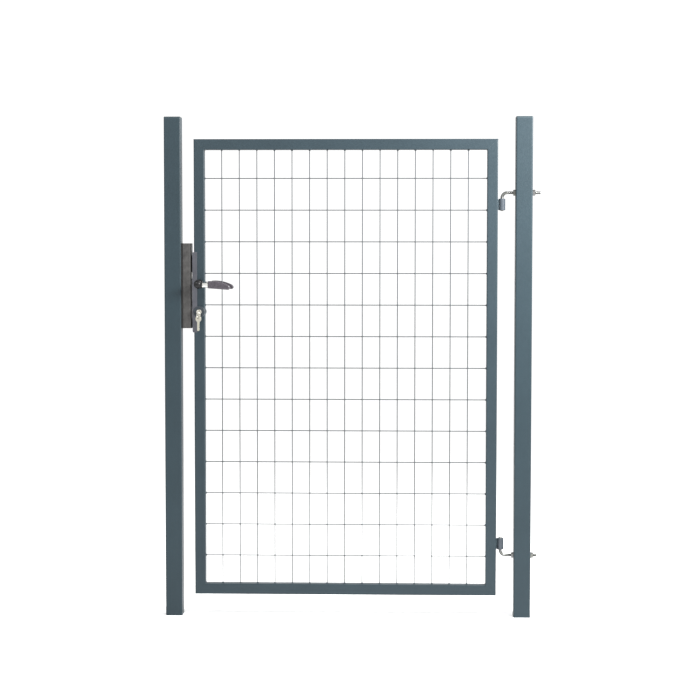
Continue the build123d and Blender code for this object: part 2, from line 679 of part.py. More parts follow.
def rear_plug():
    plug = rod("Y", CAM_GAP / 2, CYLINDER_LENGTH / 2, (SPINDLE_X, CYLINDER_Z), PLUG_RADIUS)
    return plug - mirrored(key_slot())


def cylinder_cam():
    """The cam between the plugs, its nose pointing down at rest."""
    half = CAM_THICKNESS / 2
    cam = rod("Y", -half, half, (SPINDLE_X, CYLINDER_Z), CAM_RADIUS)
    side = CAM_NOSE_WIDTH / 2
    cam += block((SPINDLE_X - side, SPINDLE_X + side), (-half, half), (CYLINDER_Z - CAM_REACH, CYLINDER_Z))
    return cam - key_slot()


def key():
    """A flat key in the YZ plane, blade tip at the origin and bow towards -Y, its hole on the axis."""
    edge = KEY_BLADE_HEIGHT / 2
    radius = KEY_BOW_DIAMETER / 2
    teeth = [(0, 0), (-1.5, -edge / 2)]
    for i, cut in enumerate(KEY_CUTS):
        y = -4 - i * KEY_CUT_PITCH
        teeth += [(y + 1.2, -edge + 0.3), (y, -edge + cut), (y - 1.2, -edge + 0.3)]
    teeth += [(-KEY_BLADE_LENGTH, -edge), (-KEY_BLADE_LENGTH, edge), (-1.5, edge)]
    blade = Plane.YZ * make_face(Polyline(*teeth, close=True))
    bow = Plane.YZ * (Pos(radius - KEY_LENGTH, 0) * Circle(radius))
    flat = extrude(blade, KEY_THICKNESS / 2, both=True) + extrude(bow, KEY_THICKNESS / 2, both=True)
    return flat - rod("X", -KEY_THICKNESS, KEY_THICKNESS, (KEY_HOLE_INSET - KEY_LENGTH, 0), KEY_HOLE_RADIUS)


def lock_key():
    return Pos(SPINDLE_X, KEY_TIP_Y, CYLINDER_Z) * key()


def ring_top():
    """Height of the ring's wire where it rests in the hole of the key in the lock."""
    return CYLINDER_Z - KEY_HOLE_RADIUS + RING_WIRE / 2 + RING_PLAY


def key_ring():
    ring = Rot(0, 0, RING_TURN) * Rot(90, 0, 0) * Torus(RING_RADIUS, RING_WIRE / 2)
    return Pos(SPINDLE_X, KEY_HOLE_Y, ring_top() - RING_RADIUS) * ring


def spare_key():
    """The second key, hanging from the ring with its blade down."""
    hole_z = ring_top() - 2 * RING_RADIUS + RING_WIRE / 2 + RING_PLAY - KEY_HOLE_RADIUS
    hung = Rot(0, 0, 90 + SPARE_KEY_TURN) * Rot(-90, 0, 0) * Pos(0, KEY_LENGTH - KEY_HOLE_INSET, 0) * key()
    return Pos(SPINDLE_X, KEY_HOLE_Y, hole_z) * hung


def rose(height, diameter, thickness):
    """A round cover on the front of the stile, let in over the forend's leg."""
    disc = rod("Y", -FACE_Y - thickness, -FACE_Y, (SPINDLE_X, height), diameter / 2)
    disc = fillet(disc.faces().sort_by(Axis.Y)[0].edges(), ROSE_EDGE)
    return disc - block((FOREND_FACE, LATCH_STILE_FACE + FOREND_LEG), (-LEG_Y, LEG_Y),
                        (FOREND_BOTTOM, FOREND_TOP))


def handle_rose():
    disc = rose(HANDLE_HEIGHT, HANDLE_ROSE_DIAMETER, HANDLE_ROSE_THICKNESS)
    return disc - rod("Y", -FRAME_SIZE, 0, (SPINDLE_X, HANDLE_HEIGHT), NECK_RADIUS + JOURNAL_CLEARANCE)


def cylinder_rose():
    disc = rose(CYLINDER_Z, CYLINDER_ROSE_DIAMETER, CYLINDER_ROSE_THICKNESS)
    return disc - cylinder_profile(CYLINDER_LENGTH * 2, CYLINDER_FIT)


def elbow():
    """The corner of a lever: a ball with a round shoulder that runs up to the metal collar."""
    shoulder = rod("X", 0, SHOULDER_END, (-HANDLE_Y, -COLLAR_DROP), SHOULDER_RADIUS)
    shoulder = chamfer(shoulder.edges().filter_by(GeomType.CIRCLE).sort_by(Axis.X)[-1], 0.8)
    # the ball's poles lie along the neck, clear of the edges that it shares with the shoulder
    return Pos(0, -HANDLE_Y, 0) * Rot(90, 0, 0) * Sphere(ELBOW_RADIUS) + shoulder


def handle_neck():
    """The stem of a lever, from its rose out to the elbow, bored square for the spindle."""
    start = -FACE_Y - NECK_SEAT
    neck = rod("Y", -HANDLE_Y, start, (0, 0), NECK_RADIUS) + elbow()
    hole = SPINDLE_SIZE / 2 + SPINDLE_FIT
    neck -= block((-hole, hole), (-FACE_Y - SPINDLE_IN_NECK - 0.5, 0), (-hole, hole))
    return Pos(SPINDLE_X, 0, HANDLE_HEIGHT) * (neck - grub_screw(THREAD_CLEARANCE))


def grub_screw(fit=0.0):
    """The set screw under a neck, up against the spindle; the neck is centred on x = z = 0."""
    y = -FACE_Y - (HANDLE_ROSE_THICKNESS + SPINDLE_IN_NECK) / 2
    return rod("Z", -NECK_RADIUS + 0.5, -SPINDLE_SIZE / 2, (0, y), GRUB_DIAMETER / 2 + fit)


def handle_grub_screws():
    screw = Pos(SPINDLE_X, 0, HANDLE_HEIGHT) * grub_screw()
    return Compound([screw.solid(), mirrored(screw).solid()])


def handle_collar(fit=0.0):
    """The metal bar of a lever: a round collar beside the elbow and a square tang inside the grip."""
    at = (-HANDLE_Y, -COLLAR_DROP)
    bar = rod("X", SHOULDER_END, COLLAR_END, at, COLLAR_RADIUS)
    half = TANG_SIZE / 2 + fit
    bar += block((COLLAR_END - 1, COLLAR_END + TANG_LENGTH + fit), (at[0] - half, at[0] + half),
                 (at[1] - half, at[1] + half))
    return Pos(SPINDLE_X, 0, HANDLE_HEIGHT) * bar


def handle_grip():
    """The moulded grip: a back that curves down to a rounded tip over a nearly straight belly."""
    root_top = (COLLAR_END, GRIP_ROOT_TOP)
    tip_top = (HANDLE_LENGTH - 6, -GRIP_TIP_TOP)
    tip_bottom = (HANDLE_LENGTH - 5, -GRIP_TIP_BOTTOM)
    root_bottom = (COLLAR_END, -GRIP_ROOT_BOTTOM)
    crest = ((COLLAR_END + HANDLE_LENGTH) / 2, GRIP_CREST)
    tip = (HANDLE_LENGTH, -(GRIP_TIP_TOP + GRIP_TIP_BOTTOM) / 2)
    outline = [ThreePointArc(root_top, crest, tip_top), ThreePointArc(tip_top, tip, tip_bottom),
               Line(tip_bottom, root_bottom), Line(root_bottom, root_top)]
    side = make_face(outline)
    side = fillet(side.vertices().sort_by(Axis.X)[-2:], GRIP_TIP_CORNER)
    grip = extrude(Plane.XZ * side, GRIP_DEPTH / 2, both=True)
    sides = grip.faces().sort_by(Axis.Y)
    grip = fillet(sides[0].edges() + sides[-1].edges(), GRIP_EDGE)
    return Pos(SPINDLE_X, -HANDLE_Y, HANDLE_HEIGHT) * grip - handle_collar(SPINDLE_FIT)


PARTS = {
    "hinge_post": hinge_post,
    "latch_post": latch_post,
    "hinge_post_cap": lambda: post_cap(0),
    "latch_post_cap": lambda: post_cap(LATCH_POST_X),
    "upper_hook_bolt": lambda: hook_bolt(UPPER_BARREL_HEIGHT, 1, UPPER_HOOK_REACH),
    "lower_hook_bolt": lambda: hook_bolt(LOWER_BARREL_HEIGHT, -1, LOWER_HOOK_REACH),
    "hook_inner_nuts": inner_nuts,
    "hook_outer_nuts": outer_nuts,
    "hook_outer_washers": outer_washers,
    "keep_base": keep_base,
    "keep_housing": keep_housing,
    "keep_strike_plate": keep_strike_plate,
    "keep_stop": keep_stop,
    "keep_buffers": keep_buffers,
    "keep_screws": keep_screws,
    "keep_stop_screws": keep_stop_screws,
    "frame_top_rail": lambda: rail(LEAF_TOP, 1),
    "frame_bottom_rail": lambda: rail(LEAF_BOTTOM, -1),
    "frame_latch_stile": latch_stile,
    "frame_hinge_stile": lambda: stile(HINGE_STILE_FACE, 1),
    "mesh_uprights": mesh_uprights,
    "mesh_crosswires": mesh_crosswires,
    "upper_hinge_barrel": lambda: hinge_barrel(UPPER_BARREL_HEIGHT),
    "lower_hinge_barrel": lambda: hinge_barrel(LOWER_BARREL_HEIGHT),
    "upper_hinge_tab": lambda: hinge_tab(UPPER_BARREL_HEIGHT),
    "lower_hinge_tab": lambda: hinge_tab(LOWER_BARREL_HEIGHT),
    "lock_forend": lock_forend,
    "lock_case": lock_case,
    "lock_case_cover": lock_case_cover,
    "forend_screws": forend_screws,
    "cylinder_body": cylinder_body,
    "cylinder_rear_plug": rear_plug,
    "cylinder_screw": cylinder_screw,
    "front_handle_rose": handle_rose,
    "rear_handle_rose": lambda: mirrored(handle_rose()),
    "front_cylinder_rose": cylinder_rose,
    "rear_cylinder_rose": lambda: mirrored(cylinder_rose()),
    "lock_follower": follower,
    "handle_spindle": spindle,
    "front_handle_neck": handle_neck,
    "rear_handle_neck": lambda: mirrored(handle_neck()),
    "front_handle_collar": handle_collar,
    "rear_handle_collar": lambda: mirrored(handle_collar()),
    "front_handle_grip": handle_grip,
    "rear_handle_grip": lambda: mirrored(handle_grip()),
    "handle_grub_screws": handle_grub_screws,
    "latch_bolt": latch_bolt,
    "latch_spring": latch_spring,
    "deadbolt": deadbolt,
    "cylinder_front_plug": front_plug,
    "cylinder_cam": cylinder_cam,
    "lock_key": lock_key,
    "key_ring": key_ring,
    "spare_key": spare_key,
}

os.makedirs("parts", exist_ok=True)
for node, make in PARTS.items():
    export_step(make(), f"parts/{node}.step")
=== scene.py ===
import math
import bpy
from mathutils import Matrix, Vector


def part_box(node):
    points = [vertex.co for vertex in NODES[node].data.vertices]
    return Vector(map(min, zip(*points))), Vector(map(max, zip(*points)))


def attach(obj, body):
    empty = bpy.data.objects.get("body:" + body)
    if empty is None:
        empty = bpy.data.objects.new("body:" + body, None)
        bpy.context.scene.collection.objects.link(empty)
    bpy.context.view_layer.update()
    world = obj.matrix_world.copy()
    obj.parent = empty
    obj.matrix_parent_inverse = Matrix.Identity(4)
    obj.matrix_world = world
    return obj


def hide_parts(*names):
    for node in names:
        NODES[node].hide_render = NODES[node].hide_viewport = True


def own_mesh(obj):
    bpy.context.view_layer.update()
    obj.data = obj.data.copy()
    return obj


bl_info = {
    "name": "Garden Gate",
    "version": (1, 0, 0),
    "blender": (4, 5, 0),
    "location": "View3D > Sidebar > Garden Gate",
    "description": "Finishes, welds, threads, keys and studio for a welded mesh garden gate",
    "category": "Object",
}

import bmesh
import bpy
from bpy.props import FloatProperty, FloatVectorProperty, IntProperty, PointerProperty, StringProperty
from mathutils import Matrix, Vector

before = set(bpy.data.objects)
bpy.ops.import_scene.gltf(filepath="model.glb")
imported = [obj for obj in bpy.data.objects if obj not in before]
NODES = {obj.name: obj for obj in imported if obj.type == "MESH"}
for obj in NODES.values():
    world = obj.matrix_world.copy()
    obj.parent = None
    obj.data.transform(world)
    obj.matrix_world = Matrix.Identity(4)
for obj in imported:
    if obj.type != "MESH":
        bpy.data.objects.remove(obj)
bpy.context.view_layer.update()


def box(node):
    """The lowest and highest corner of a CAD node as vectors."""
    low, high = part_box(node)
    return Vector(low), Vector(high)


def centre(node):
    low, high = box(node)
    return (low + high) / 2


def linear(colour):
    """An sRGB hex colour as the linear RGBA that Blender works in."""
    parts = [int(colour[i:i + 2], 16) / 255 for i in (1, 3, 5)]
    return (*[c / 12.92 if c <= 0.04045 else ((c + 0.055) / 1.055) ** 2.4 for c in parts], 1.0)


# Places that several pieces share, read from the frame
LEAF_LOW = Vector((box("frame_latch_stile")[0].x, box("frame_top_rail")[0].y, box("frame_bottom_rail")[0].z))
LEAF_HIGH = Vector((box("frame_hinge_stile")[1].x, box("frame_top_rail")[1].y, box("frame_top_rail")[1].z))
TUBE = LEAF_HIGH.y - LEAF_LOW.y
OPENING_LOW = LEAF_LOW + Vector((TUBE, 0, TUBE))
OPENING_HIGH = LEAF_HIGH - Vector((TUBE, 0, TUBE))


# ---------------------------------------------------------------- settings

class GateFinishes(bpy.types.PropertyGroup):
    """Colours of the finishes, as sRGB hex values."""
    frame_coat: StringProperty(name="Frame coat", description="Powder coat of the leaf", default="#263238")
    post_coat: StringProperty(name="Post coat", description="Powder coat of the posts", default="#243137")
    wire_coat: StringProperty(name="Wire coat", description="Coat on the mesh wires", default="#3A3E41")
    cap: StringProperty(name="Post cap", description="Moulded cap colour", default="#2A363B")
    # lighter than the frame coat: a painted highlight of the key light on the upper barrel
    barrel: StringProperty(name="Hinge barrel", description="Coat of the hinge barrels", default="#3A4046")
    zinc: StringProperty(name="Zinc", description="Zinc plating of rods, nuts and sheet", default="#7C7D80")
    zinc_blue: StringProperty(name="Blue zinc", description="Clouds on plated sheet", default="#8D92A0")
    zinc_yellow: StringProperty(name="Yellow zinc", description="Clouds on plated rods", default="#74756F")
    keep: StringProperty(name="Keep", description="Filled polyamide of the keep", default="#393837")
    keep_metal: StringProperty(name="Keep metal", description="Coated steel of the keep", default="#1A1A1A")
    # the forend's dark grey stands in for dark surroundings reflected in the metal: a painted reflection
    forend: StringProperty(name="Forend", description="Anodised aluminium", default="#606167")
    black: StringProperty(name="Black polyamide", description="Handle roses and necks", default="#101012")
    grey: StringProperty(name="Grey polyamide", description="Cylinder roses", default="#2B3136")
    spring: StringProperty(name="Spring wire", description="Drawn spring steel", default="#6E6E6E")
    grip: StringProperty(name="Grip", description="Glossy lever grip", default="#322D34")
    steel: StringProperty(name="Stainless steel", description="Ground stainless steel", default="#D6D6D2")
    nickel: StringProperty(name="Nickel", description="Nickel plated brass", default="#D2D0C8")
    brass: StringProperty(name="Brass", description="Brass that shows through worn keys", default="#C4C1AC")
    screw: StringProperty(name="Blackened screw", description="Oiled oxide on screws", default="#3C3C3E")
    rubber: StringProperty(name="Rubber", description="Buffers of the stop", default="#17171A")
    coat_grain: FloatProperty(name="Coat grain", description="Spacing of the coat's fine texture",
                              default=0.0016, unit="LENGTH")


class GateWelds(bpy.types.PropertyGroup):
    """Sizes of the weld beads and of the mesh welds."""
    bead: FloatProperty(name="Hinge bead", description="Radius of the hinge weld bead", default=0.0024,
                        unit="LENGTH")
    seam: FloatProperty(name="Mitre seam", description="Radius of the ground mitre seam", default=0.0016,
                        unit="LENGTH")
    wire_end: FloatProperty(name="Wire end", description="Radius of the weld at a wire's end", default=0.0034,
                            unit="LENGTH")
    crossing: FloatProperty(name="Crossing", description="Radius of the fused metal at a crossing",
                            default=0.0017, unit="LENGTH")
    upright_pitch: FloatProperty(name="Upright pitch", description="Spacing of the upright wires",
                                 default=0.058, unit="LENGTH")
    crosswire_pitch: FloatProperty(name="Crosswire pitch", description="Spacing of the crosswires",
                                   default=0.1043, unit="LENGTH")
    upright_shift: FloatProperty(name="Upright shift", description="How far the panel sits off centre",
                                 default=-0.0025, unit="LENGTH")
    seed: IntProperty(name="Seed", description="Seed of the beads' unevenness", default=7)


class GateHardware(bpy.types.PropertyGroup):
    """Sizes of the threads and the hook's bend, the split ring and the latch spring."""
    thread_pitch: FloatProperty(name="Thread pitch", description="Pitch of the M10 thread", default=0.0015,
                                unit="LENGTH")
    thread_depth: FloatProperty(name="Thread depth", description="Depth of the M10 thread", default=0.0008,
                                unit="LENGTH")
    bend_radius: FloatProperty(name="Bend radius", description="Centreline radius of the hook's bend",
                               default=0.017, unit="LENGTH")
    ring_turns: FloatProperty(name="Ring turns", description="Turns of the split ring", default=2.0)
    latch_travel: FloatProperty(name="Latch travel", description="How far the latch bolt is drawn in",
                                default=0.012, unit="LENGTH")


class GateStudio(bpy.types.PropertyGroup):
    """The camera, the floor and the lights."""
    camera_place: FloatVectorProperty(name="Camera", description="Place of the camera", size=3,
                                      default=(-0.398, -5.798, 1.205), subtype="TRANSLATION")
    yaw: FloatProperty(name="Yaw", description="Turn of the camera from straight ahead, to the left",
                       default=math.radians(1.705), unit="ROTATION")
    pitch: FloatProperty(name="Pitch", description="How far the camera looks down",
                         default=math.radians(3.157), unit="ROTATION")
    roll: FloatProperty(name="Roll", description="Roll of the camera", default=math.radians(0.047),
                        unit="ROTATION")
    focal: FloatProperty(name="Focal length", description="Lens on a 36 mm wide sensor", default=90.3)
    floor: StringProperty(name="Floor", description="Colour of the floor", default="#FCFCFC")
    sky: FloatProperty(name="Surroundings", description="Strength of the pale surroundings", default=1.1)
    key: FloatProperty(name="Key light", description="Power of the key light", default=105.0, unit="POWER")
    fill: FloatProperty(name="Fill light", description="Power of the fill light", default=26.0, unit="POWER")


def settings(group):
    return getattr(bpy.context.scene, group)


# ---------------------------------------------------------------- materials

def add(tree, kind, sockets=None, **values):
    """Add a node, set its values, and set each input, by name or number, or link it to an output."""
    made = tree.nodes.new(kind)
    for name, value in values.items():
        setattr(made, name, value)
    for name, value in (sockets or {}).items():
        if isinstance(value, bpy.types.NodeSocket):
            tree.links.new(value, made.inputs[name])
        else:
            made.inputs[name].default_value = value
    return made


def shade(colour, amount):
    """A linear colour made lighter or darker by a factor."""
    return tuple(min(1.0, c * amount) for c in colour[:3]) + (1.0,)


# The noise between its usual lowest and highest values, for slow clouds and for fine grain
CLOUD_RANGE = 0.32, 0.68
GRAIN_RANGE = 0.3, 0.7
# How far a rounded normal agrees with the true one where the lighter edge starts and where it is full; the
# lighter edge is partly wear and partly a painted highlight
EDGE_WEAR_AND_HIGHLIGHT_RANGE = 0.985, 0.8


def finish(name, colour, rough, metallic=0.0, ior=1.5, shine=0.5, cloud=(0.05, 0.07), grain=(0.002, 0.0),
           stretch=(1.0, 1.0, 1.0), edge_wear_and_highlight=(0.001, 1.5, 0.3), pits=None, depth=0.00005, second=None):
    """One surface, from the real measures of what shows on it.

    rough is the range of its roughness, and shine its specular level. cloud is the spacing of its slow
    changes and how far they change the tone. grain is the same for its fine texture, which stretch
    draws out along the lines of a tool. The edge argument is the radius of an edge, how much lighter the
    edge is painted, partly for wear and partly as a painted highlight, and how much of it shows. pits is
    the spacing of the droplets of a sprayed coat, depth the height of the fine texture, and second
    another colour that the clouds drift towards."""
    material = bpy.data.materials.new(name)
    material.use_nodes = True
    tree = material.node_tree
    shader = tree.nodes["Principled BSDF"]
    place = add(tree, "ShaderNodeTexCoord").outputs["Object"]
    base = linear(colour)
    drift = add(tree, "ShaderNodeTexNoise", {"Vector": place, "Scale": 1 / cloud[0], "Detail": 4.0,
                                             "Roughness": 0.6}).outputs["Fac"]
    drifted = add(tree, "ShaderNodeMapRange", {"Value": drift, "From Min": CLOUD_RANGE[0],
                                               "From Max": CLOUD_RANGE[1]})
    tone = add(tree, "ShaderNodeMix", {0: drifted.outputs["Result"], 6: shade(base, 1 - cloud[1]),
                                       7: linear(second) if second else shade(base, 1 + cloud[1])},
               data_type="RGBA")
    drawn = add(tree, "ShaderNodeMapping", {"Vector": place, "Scale": stretch}).outputs["Vector"]
    fine = add(tree, "ShaderNodeTexNoise", {"Vector": drawn, "Scale": 1 / grain[0], "Detail": 4.0,
                                            "Roughness": 0.62}).outputs["Fac"]
    lift = add(tree, "ShaderNodeMapRange", {"Value": fine, "From Min": GRAIN_RANGE[0],
                                            "From Max": GRAIN_RANGE[1],
                                            "To Min": 1 - grain[1], "To Max": 1 + grain[1]})
    grained = add(tree, "ShaderNodeVectorMath", {0: tone.outputs[2]}, operation="SCALE")
    tree.links.new(lift.outputs["Result"], grained.inputs["Scale"])
    # an edge shows where a rounded normal leaves the true one; there the colour is painted lighter, partly
    # for wear and partly as a painted highlight on the rounded edge
    rounded = add(tree, "ShaderNodeBevel", {"Radius": edge_wear_and_highlight[0]}, samples=4).outputs["Normal"]
    plain = add(tree, "ShaderNodeNewGeometry").outputs["Normal"]
    agree = add(tree, "ShaderNodeVectorMath", {0: rounded, 1: plain}, operation="DOT_PRODUCT")
    edge = add(tree, "ShaderNodeMapRange", {"Value": agree.outputs["Value"], "From Min": EDGE_WEAR_AND_HIGHLIGHT_RANGE[0],
                                            "From Max": EDGE_WEAR_AND_HIGHLIGHT_RANGE[1], "To Min": 0.0, "To Max": edge_wear_and_highlight[2]})
    worn_and_highlit = add(tree, "ShaderNodeMix", {0: edge.outputs["Result"], 6: grained.outputs["Vector"],
                                       7: shade(base, edge_wear_and_highlight[1])}, data_type="RGBA")
    tree.links.new(worn_and_highlit.outputs[2], shader.inputs["Base Color"])
    gloss = add(tree, "ShaderNodeMapRange", {"Value": fine, "From Min": GRAIN_RANGE[0],
                                             "From Max": GRAIN_RANGE[1],
                                             "To Min": rough[0], "To Max": rough[1]})
    tree.links.new(gloss.outputs["Result"], shader.inputs["Roughness"])
    height = fine
    if pits:
        drops = add(tree, "ShaderNodeTexVoronoi", {"Vector": place, "Scale": 1 / pits}, feature="SMOOTH_F1")
        both = add(tree, "ShaderNodeMath", {0: fine, 1: drops.outputs["Distance"]}, operation="ADD")
        height = both.outputs[0]
    relief = add(tree, "ShaderNodeBump", {"Height": height, "Distance": depth, "Strength": 0.5})
    tree.links.new(relief.outputs["Normal"], shader.inputs["Normal"])
    shader.inputs["Metallic"].default_value = metallic
    if not metallic:
        shader.inputs["IOR"].default_value = ior
        shader.inputs["Specular IOR Level"].default_value = shine
    return material


def give(material, *nodes):
    """Give CAD nodes a material, in every slot they have."""
    for name in nodes:
        data = NODES[name].data
        if not data.materials:
            data.materials.append(material)
        for i in range(len(data.materials)):
            data.materials[i] = material


# ---------------------------------------------------------------- meshes

def mesh_piece(name, vertices, faces, material, body, smooth=True):
    """A finished piece from plain lists, riding on its body."""
    data = bpy.data.meshes.new(name)
    data.from_pydata([tuple(v) for v in vertices], [], faces)
    data.validate()
    data.polygons.foreach_set("use_smooth", [smooth] * len(data.polygons))
    data.materials.append(material)
    made = bpy.data.objects.new(name, data)
    bpy.context.scene.collection.objects.link(made)
    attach(made, body)
    return made


def tube_faces(rings, sides):
    """Faces of a closed tube of rings, with a fan at each end; its two end points come last."""
    faces = []
    for i in range(rings - 1):
        for j in range(sides):
            a, b = i * sides + j, i * sides + (j + 1) % sides
            faces.append((a, b, b + sides, a + sides))
    first, last = rings * sides, rings * sides + 1
    faces += [(first, (j + 1) % sides, j) for j in range(sides)]
    top = (rings - 1) * sides
    faces += [(last, top + j, top + (j + 1) % sides) for j in range(sides)]
    return faces


def outward(piece):
    """Turn a closed shell's faces outwards."""
    data = bmesh.new()
    data.from_mesh(piece.data)
    bmesh.ops.remove_doubles(data, verts=data.verts, dist=1e-7)
    bmesh.ops.recalc_face_normals(data, faces=data.faces)
    data.to_mesh(piece.data)
    data.free()
    piece.data.update()


# ---------------------------------------------------------------- Geometry Nodes for the welds

def weld_tree():
    """A node tree that sets small flattened beads along edges, or at single points where there are none.

    Its inputs are the bead's radius, the spacing along an edge, how flat a bead is, the seed of its
    unevenness and its material."""
    tree = bpy.data.node_groups.new("weld_beads", "GeometryNodeTree")
    face = tree.interface
    face.new_socket("Geometry", in_out="INPUT", socket_type="NodeSocketGeometry")
    face.new_socket("Radius", in_out="INPUT", socket_type="NodeSocketFloat")
    face.new_socket("Spacing", in_out="INPUT", socket_type="NodeSocketFloat")
    face.new_socket("Shape", in_out="INPUT", socket_type="NodeSocketVector")
    face.new_socket("Detail", in_out="INPUT", socket_type="NodeSocketInt")
    face.new_socket("Seed", in_out="INPUT", socket_type="NodeSocketInt")
    face.new_socket("Material", in_out="INPUT", socket_type="NodeSocketMaterial")
    face.new_socket("Geometry", in_out="OUTPUT", socket_type="NodeSocketGeometry")
    given = add(tree, "NodeGroupInput").outputs
    curve = add(tree, "GeometryNodeMeshToCurve", {"Mesh": given["Geometry"]}).outputs["Curve"]
    even = add(tree, "GeometryNodeResampleCurve", {"Curve": curve, "Length": given["Spacing"]}, mode="LENGTH")
    along = add(tree, "GeometryNodeCurveToPoints", {"Curve": even.outputs["Curve"]}, mode="EVALUATED")
    alone = add(tree, "GeometryNodeMeshToPoints", {"Mesh": given["Geometry"]})
    # points that belong to an edge are already on a curve
    neighbours = add(tree, "GeometryNodeInputMeshVertexNeighbors").outputs["Vertex Count"]
    single = add(tree, "FunctionNodeCompare", {2: neighbours, 3: 0}, data_type="INT", operation="EQUAL")
    tree.links.new(single.outputs["Result"], alone.inputs["Selection"])
    points = add(tree, "GeometryNodeJoinGeometry")
    tree.links.new(along.outputs["Points"], points.inputs["Geometry"])
    tree.links.new(alone.outputs["Points"], points.inputs["Geometry"])
    ball = add(tree, "GeometryNodeMeshIcoSphere", {"Radius": given["Radius"],
                                                   "Subdivisions": given["Detail"]})
    smooth = add(tree, "GeometryNodeSetShadeSmooth", {"Geometry": ball.outputs["Mesh"]})
    uneven = add(tree, "FunctionNodeRandomValue", {2: 0.86, 3: 1.14, "Seed": given["Seed"]},
                 data_type="FLOAT")
    scale = add(tree, "ShaderNodeVectorMath", {0: given["Shape"]}, operation="SCALE")
    tree.links.new(uneven.outputs[1], scale.inputs["Scale"])
    beads = add(tree, "GeometryNodeInstanceOnPoints", {"Points": points.outputs["Geometry"],
                                                       "Instance": smooth.outputs["Geometry"],
                                                       "Scale": scale.outputs["Vector"]})
    real = add(tree, "GeometryNodeRealizeInstances", {"Geometry": beads.outputs["Instances"]})
    coated = add(tree, "GeometryNodeSetMaterial", {"Geometry": real.outputs["Geometry"],
                                                   "Material": given["Material"]})
    add(tree, "NodeGroupOutput", {"Geometry": coated.outputs["Geometry"]})
    return tree


def weld_piece(name, points, edges, material, radius, spacing, shape, detail):
    """A plain mesh on the leaf of weld beads along edges or at points, made by the weld tree."""
    tree = bpy.data.node_groups.get("weld_beads") or weld_tree()
    guide = bpy.data.meshes.new(name + "_guide")
    guide.from_pydata([tuple(p) for p in points], edges, [])
    maker = bpy.data.objects.new(name + "_guide", guide)
    bpy.context.scene.collection.objects.link(maker)
    modifier = maker.modifiers.new("weld_beads", "NODES")
    modifier.node_group = tree
    inputs = {"Radius": radius, "Spacing": spacing, "Shape": shape, "Detail": detail,
              "Seed": settings("gate_welds").seed, "Material": material}
    for item in tree.interface.items_tree:
        if item.in_out == "INPUT" and item.name in inputs:
            modifier[item.identifier] = inputs[item.name]
    maker.update_tag()
    shown = maker.evaluated_get(bpy.context.evaluated_depsgraph_get())
    data = bpy.data.meshes.new_from_object(shown)
    data.name = name
    bpy.data.objects.remove(maker)
    if not data.polygons:
        raise RuntimeError(f"{name} has no beads")
    made = bpy.data.objects.new(name, data)
    bpy.context.scene.collection.objects.link(made)
    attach(made, "leaf")
    return made


def loop_edges(count, start=0):
    return [(start + i, start + (i + 1) % count) for i in range(count)]


def wire_places(low, high, pitch, shift=0.0):
    """The same even rule that spaces the wires in the frame."""
    count = round((high - low) / pitch) - 1
    return [(low + high) / 2 + shift + pitch * (i - (count - 1) / 2) for i in range(count)]


# ---------------------------------------------------------------- operators

class GATE_OT_coated_steel(bpy.types.Operator):
    """Powder coat on the posts, the frame tubes, the wires and the hinge barrels"""
    bl_idname = "gate.coated_steel"
    bl_label = "Coated steel"

    def execute(self, context):
        look = settings("gate_finishes")
        # polyester powder coat over tube: satin, with droplets drawn about twice as coarse as they are
        # so that they show, a slow change of tone along the tube, and lighter edges, partly thinner paint and
        # partly a painted highlight
        coat = dict(rough=(0.34, 0.5), shine=0.25, pits=look.coat_grain, cloud=(0.22, 0.07),
                    grain=(look.coat_grain * 2, 0.07), edge_wear_and_highlight=(0.0015, 2.0, 0.5), depth=0.00022)
        give(finish("post_powder_coat", look.post_coat, **coat), "hinge_post", "latch_post")
        give(finish("frame_powder_coat", look.frame_coat, **coat),
             "frame_top_rail", "frame_bottom_rail", "frame_latch_stile", "frame_hinge_stile")
        # the same coat where it is thicker and glossier, on turned barrels and cut flats; its colour is
        # painted lighter than the frame's, a painted highlight of the key light on the upper barrel
        give(finish("hinge_powder_coat", look.barrel, rough=(0.2, 0.32), shine=0.3, cloud=(0.01, 0.1),
                    grain=(0.0014, 0.06), edge_wear_and_highlight=(0.001, 2.2, 0.6), pits=0.0014, depth=0.0001),
             "upper_hinge_barrel", "lower_hinge_barrel", "upper_hinge_tab", "lower_hinge_tab")
        # dipped wire: smooth, slightly streaky along its length
        give(finish("wire_coat", look.wire_coat, rough=(0.36, 0.5), shine=0.3, cloud=(0.06, 0.12),
                    grain=(0.0012, 0.06)),
             "mesh_uprights", "mesh_crosswires")
        # moulded polyethylene: a soft sheen over a fine grain, with paler edges that are a painted highlight
        give(finish("moulded_cap", look.cap, rough=(0.38, 0.5), ior=1.51, shine=0.3, cloud=(0.02, 0.06),
                    grain=(0.0012, 0.05), edge_wear_and_highlight=(0.001, 1.8, 0.4)), "hinge_post_cap", "latch_post_cap")
        return {"FINISHED"}


